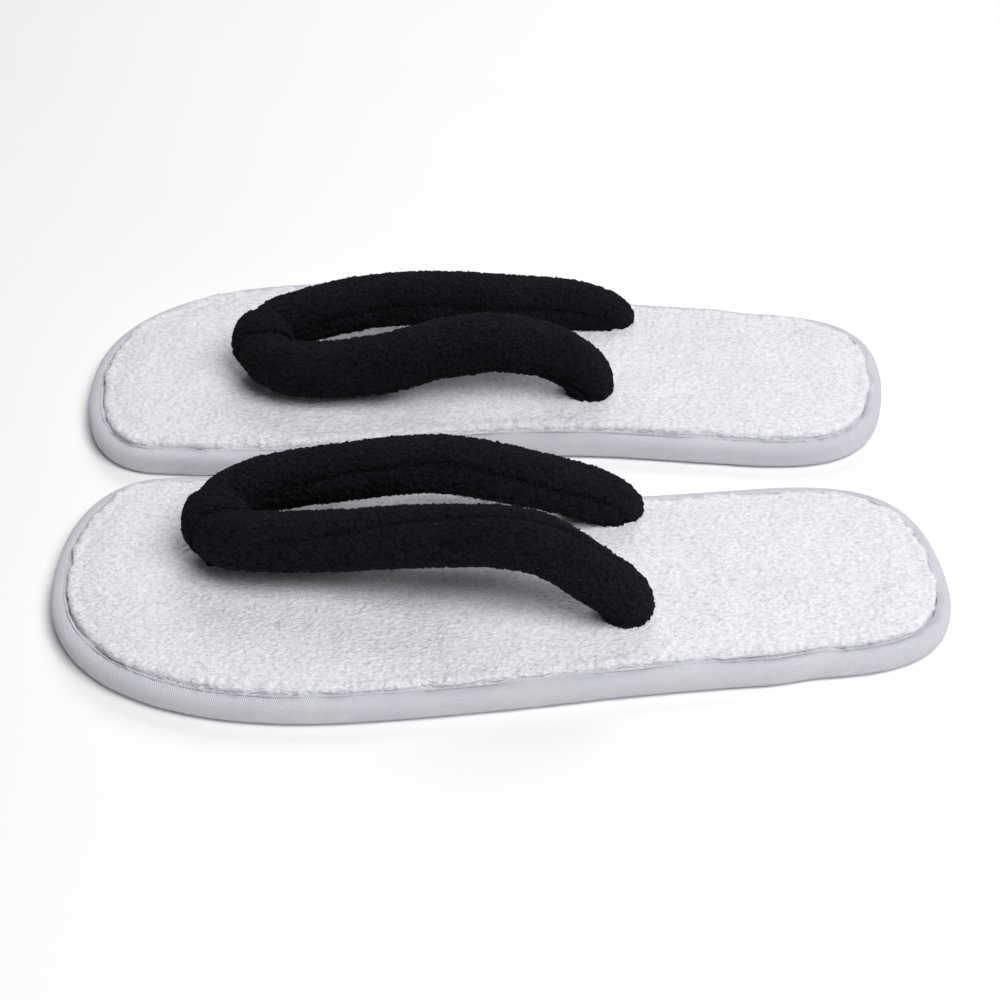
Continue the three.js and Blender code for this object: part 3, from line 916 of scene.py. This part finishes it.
def simulated_fill(tube, radius, seam):
    """How far the filling swells the strap between its seam and its ends, by station and angle."""
    rows = int(tube.length / TUBE_SIM_STEP)
    at = np.linspace(0, tube.length, rows)
    angle = np.linspace(0, 2 * math.pi, TUBE_SIM_SIDES, endpoint=False)
    s, a = np.repeat(at, TUBE_SIM_SIDES), np.tile(angle, rows)
    r = np.interp(s, tube.at, radius)
    turn = np.interp(s, tube.at, np.unwrap(seam))
    off = (a - turn + math.pi) % (2 * math.pi) - math.pi
    points = tube.point(s, a, r)
    faces = grid_faces(rows, TUBE_SIM_SIDES, closed_columns=True)
    if ((points - tube.sample(s, tube.line)) * vertex_normals(points, faces)).sum() < 0:
        faces = faces[:, ::-1]
    ring = np.arange(TUBE_SIM_SIDES)
    held = np.concatenate([np.flatnonzero(np.abs(off) < math.pi / TUBE_SIM_SIDES), ring,
                           (rows - 1) * TUBE_SIM_SIDES + ring])
    return inflated(points, faces, held, TUBE_SLACK, TUBE_PRESSURE, TUBE_CAP).reshape(rows, TUBE_SIM_SIDES)


def padded_strap(side, seed):
    """The strap: a stuffed terry tube with its seam pulled in, cut off level where it meets the insole."""
    step, sides = ((0.5, 124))
    tube = Tube(side, step)
    share = np.where(np.arange(len(tube.line)) < tube.tip, tube.at / tube.at[tube.tip],
                     (tube.length - tube.at) / (tube.length - tube.at[tube.tip]))
    first = np.arange(len(tube.line)) < tube.tip
    radius = np.where(first, np.interp(share, *zip(*RADII[side]["lateral"])),
                      np.interp(share, *zip(*RADII[side]["medial"])))
    turn = np.radians(np.where(first, np.interp(share, *zip(*SEAMS[side]["lateral"])),
                               np.interp(share, *zip(*SEAMS[side]["medial"]))))
    # The camera looks at the lateral side of the left slipper and the medial side of the right one.
    d = np.stack([np.zeros_like(turn), -SIDES[side] * np.cos(turn), np.sin(turn)], 1)
    seam = np.arctan2((tube.up * d).sum(1), (tube.front * d).sum(1))
    angle = np.linspace(0, 2 * math.pi, sides, endpoint=False)
    s = np.repeat(tube.at, sides)
    a = np.tile(angle, len(tube.line))
    r = np.repeat(radius, sides) - 0.4
    off = (a - np.repeat(seam, sides) + math.pi) % (2 * math.pi) - math.pi
    reach = off * r
    along = np.column_stack([tube.at, 0 * tube.at, 0 * tube.at])
    depth = np.repeat(0.75 + 0.45 * smooth_noise(along, 17, seed + 5), sides)
    groove = 0.9 * np.exp(-(reach / 1.3) ** 2) + 0.5 * np.exp(-(reach / 3.8) ** 2)
    fade = np.clip((SEAM_END - share) / 0.2, 0, 1)
    groove = groove * np.repeat(0.12 + 0.88 * fade * fade * (3 - 2 * fade), sides)
    base = tube.point(s, a, r)
    faces = grid_faces(len(tube.line), sides, closed_columns=True)
    lumps = layered_noise(base, 13, seed + 6)
    creases = layered_noise(np.column_stack([s / 3.0, a * 3.0, 0 * s]), 2.2, seed + 7)
    swell = 0.0
    table = simulated_fill(tube, radius, seam)
    row, column = s / tube.length * (len(table) - 1), a / (2 * math.pi) * TUBE_SIM_SIDES
    swell = from_table(table, row, column, wrap=True) - np.median(table)
    base = tube.point(s, a, r - depth * groove + 0.25 * lumps + 0.12 * creases + swell)
    normals = vertex_normals(base, faces)
    if ((base - tube.sample(s, tube.line)) * normals).sum() < 0:
        faces = faces[:, ::-1]
        normals = -normals
    warp = np.stack([smooth_noise(base, 2.3, seed + 8 + k) for k in range(3)], 1)
    pile = tufts(base + 0.4 * warp, 0.95, seed)
    fine = hashed(np.floor(base / 0.4), seed + 12) - 0.5
    points = base + normals * (1.0 * pile + 0.55 * fine)[:, None] + 0.2 * warp * pile[:, None]
    # Painted shade: the pile's colour is darkened along the seam, over the groove that the shape already has.
    shade = np.clip(pile - 0.45 * np.exp(-(reach / 1.1) ** 2) * np.repeat(fade, sides), 0, 1)
    last = (len(tube.line) - 1) * sides
    ends = [list(range(sides))[::-1], [last + k for k in range(sides)]]
    if (faces[0] != grid_faces(2, sides, closed_columns=True)[0]).any():
        ends = [end[::-1] for end in ends]
    piece = make_piece(side + "_strap", side, points, faces.tolist() + ends, TERRY, {"pile": shade})
    cut_level(piece, (INSOLE_TOP - 0.3) * MM)
    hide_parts(side + "_strap_sleeve")
    return tube


def cut_level(piece, height):
    """Cuts a closed mesh off below a height, and closes it there."""
    made = bmesh.new()
    made.from_mesh(piece.data)
    whole = made.verts[:] + made.edges[:] + made.faces[:]
    cut = bmesh.ops.bisect_plane(made, geom=whole, plane_co=(0, 0, height), plane_no=(0, 0, 1),
                                 clear_inner=True)
    rim = [e for e in cut["geom_cut"] if isinstance(e, bmesh.types.BMEdge) and e.is_boundary]
    bmesh.ops.edgenet_fill(made, edges=rim)
    bmesh.ops.recalc_face_normals(made, faces=made.faces[:])
    made.to_mesh(piece.data)
    made.free()
    piece.data.polygons.foreach_set("use_smooth", [True] * len(piece.data.polygons))
    piece.data.update()


def toe_band(side, tube, seed):
    """The toe loop: a folded terry band over the strap's bend, with both of its ends through the insole."""
    along, sides = ((210, 72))
    front, aside = STRAPS[side]["bend"]
    middle = tube.at[tube.tip]
    q = np.linspace(0, 1, along)
    # From the insole behind the bend, up through the crotch, over the top and down the front to the insole.
    angle = np.radians(np.interp(q, [0, 0.16, 0.3, 0.5, 0.7, 0.84, 1], [252, 205, 160, 95, 30, -25, -72]))
    leave = np.interp(q, [0, 0.14, 0.24, 0.8, 0.9, 1], [1, 0.6, 0, 0, 0.6, 1])
    leave = leave * leave * (3 - 2 * leave)
    half = np.clip(5.6 / (1 + 9.3 / BEND_ROUNDING * np.cos(angle)), 4.0, 5.8)
    half = half + (5.4 - half) * leave
    section = np.linspace(0, 2 * math.pi, sides, endpoint=False)
    w = np.sign(np.cos(section)) * np.abs(np.cos(section)) ** 0.75
    h = np.sign(np.sin(section)) * np.abs(np.sin(section)) ** 0.8
    s = middle + np.outer(half, w).ravel()
    a = np.repeat(angle, sides)
    thick = 1.25 + 1.1 * leave + 0.2 * smooth_noise(np.column_stack([q * 30, q * 0, q * 0]), 6, seed)
    r = 9.5 + np.outer(thick, h).ravel()
    hugging = tube.point(s, a, r)
    # The ends drop to the stem, one behind the other.
    stem_x = np.interp(q, [0, 0.5, 1], [front + 2.1, front, front - 2.8])
    stem_z = np.interp(q, [0, 0.2, 0.8, 1], [9.5, 16, 16, 9.5])
    stem = np.stack([(stem_x[:, None] + np.outer(np.where(q < 0.5, 1, -1) * thick, h)).ravel(),
                     (aside + np.outer(half, w)).ravel(), np.repeat(stem_z, sides)], 1)
    mix = np.repeat(leave, sides)[:, None]
    base = hugging * (1 - mix) + stem * mix
    faces = grid_faces(along, sides, closed_columns=True)
    normals = vertex_normals(base, faces)
    centre = base.reshape(along, sides, 3).mean(1).repeat(sides, 0)
    if ((base - centre) * normals).sum() < 0:
        faces = faces[:, ::-1]
        normals = -normals
    warp = np.stack([smooth_noise(base, 2.3, seed + 8 + k) for k in range(3)], 1)
    pile = tufts(base + 0.4 * warp, 0.95, seed + 2)
    fine = hashed(np.floor(base / 0.4), seed + 12) - 0.5
    points = base + normals * (0.95 * pile + 0.55 * fine)[:, None]
    last = (along - 1) * sides
    ends = [list(range(sides))[::-1], [last + k for k in range(sides)]]
    piece = make_piece(side + "_toe_band", side, points, faces.tolist() + ends, TERRY, {"pile": pile})
    cut_level(piece, (INSOLE_TOP - 1.2) * MM)
    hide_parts(side + "_toe_loop")
    return piece


for number, name in enumerate(SIDES):
    fleece_pad(name, 100 + 50 * number)
    edge_tape(name, 200 + 50 * number)
    edge_stitches(name)
    grip_sole(name)
    strap_tube = padded_strap(name, 300 + 50 * number)
    toe_band(name, strap_tube, 400 + 50 * number)
    for node, finish in (("insole_board", BOARD), ("midsole_foam", MIDSOLE), ("strap_core", CORE),
                         ("lateral_bartack", BLACK_THREAD), ("medial_bartack", BLACK_THREAD),
                         ("toe_bartack", BLACK_THREAD)):
        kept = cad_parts[name + "_" + node]
        kept.data.materials.clear()
        kept.data.materials.append(finish)


# ---------------------------------------------------------------- studio

def area_light(name, place_at, aim, size, power, tint=(1, 1, 1)):
    light = bpy.data.lights.new(name, "AREA")
    light.shape = "RECTANGLE"
    light.size, light.size_y = size
    light.energy = power
    light.color = tint
    lamp = bpy.data.objects.new(name, light)
    lamp.location = place_at
    lamp.rotation_euler = (Vector(aim) - Vector(place_at)).to_track_quat("-Z", "Y").to_euler()
    bpy.context.scene.collection.objects.link(lamp)


# Half the floor's width, in metres, and the pale tone that the floor and the horizon share.
FLOOR_REACH = 4.0
PALE = (0.86, 0.86, 0.87)


def studio():
    floor_material, nodes, links, shader = node_material("studio_floor")
    grain = noise(nodes, links, stretched(nodes, links, (8, 8, 8)), 1, 2)
    links.new(ramp(nodes, links, grain, (0.93, 0.93, 0.93), (0.96, 0.96, 0.96)), shader.inputs["Base Color"])
    shader.inputs["Roughness"].default_value = 0.9
    # The floor stays pale far from the lamps, where it hardly lights the slippers.
    from_middle = nodes.new("ShaderNodeVectorMath")
    from_middle.operation = "LENGTH"
    links.new(nodes.new("ShaderNodeTexCoord").outputs["Object"], from_middle.inputs[0])
    share = maths(nodes, links, "MULTIPLY", from_middle.outputs["Value"], 1 / FLOOR_REACH)
    glow = ramp(nodes, links, share, (0, 0, 0), PALE, 0.17, 0.5)
    links.new(glow, shader.inputs["Emission Color"])
    shader.inputs["Emission Strength"].default_value = 1.0
    mesh = bpy.data.meshes.new("floor")
    r = FLOOR_REACH
    mesh.from_pydata([(-r, -r, 0), (r, -r, 0), (r, r, 0), (-r, r, 0)], [], [(0, 1, 2, 3)])
    mesh.materials.append(floor_material)
    floor = bpy.data.objects.new("floor", mesh)
    bpy.context.scene.collection.objects.link(floor)
    world = bpy.data.worlds.new("studio")
    world.use_nodes = True
    nodes, links = world.node_tree.nodes, world.node_tree.links
    split = nodes.new("ShaderNodeSeparateXYZ")
    links.new(nodes.new("ShaderNodeTexCoord").outputs["Generated"], split.inputs[0])
    horizon = ramp(nodes, links, split.outputs[2], PALE, (0.077, 0.076, 0.08), 0.01, 0.3)
    links.new(horizon, nodes["Background"].inputs["Color"])
    bpy.context.scene.world = world
    area_light("key_softbox", (0.495, -0.495, 1.212), (0, 0, 0), (0.8, 0.8), 18.5)
    area_light("back_fill", (0, 0.99, 0.99), (0, 0, 0), (0.8, 0.8), 7.5)
    bpy.context.scene.view_settings.view_transform = "Standard"


# The camera that the photo was taken with, from a fit of the sole outlines: lens over picture width, and
# the sensor's width in millimetres.
LENS_PER_WIDTH = 1.772
SENSOR = 36


def photo_camera():
    data = bpy.data.cameras.new("camera")
    data.sensor_width = SENSOR
    data.lens = LENS_PER_WIDTH * SENSOR
    data.clip_start = 0.01
    camera = bpy.data.objects.new("camera", data)
    yaw, pitch, roll = 0.774, 42.10, -0.423
    turn = (Matrix.Rotation(math.radians(yaw), 4, "Z") @ Matrix.Rotation(math.radians(90 - pitch), 4, "X")
            @ Matrix.Rotation(math.radians(roll), 4, "Z"))
    camera.matrix_world = Matrix.Translation((0.0086, -0.4558, 0.4054)) @ turn
    bpy.context.scene.collection.objects.link(camera)
    bpy.context.scene.camera = camera


studio()
photo_camera()
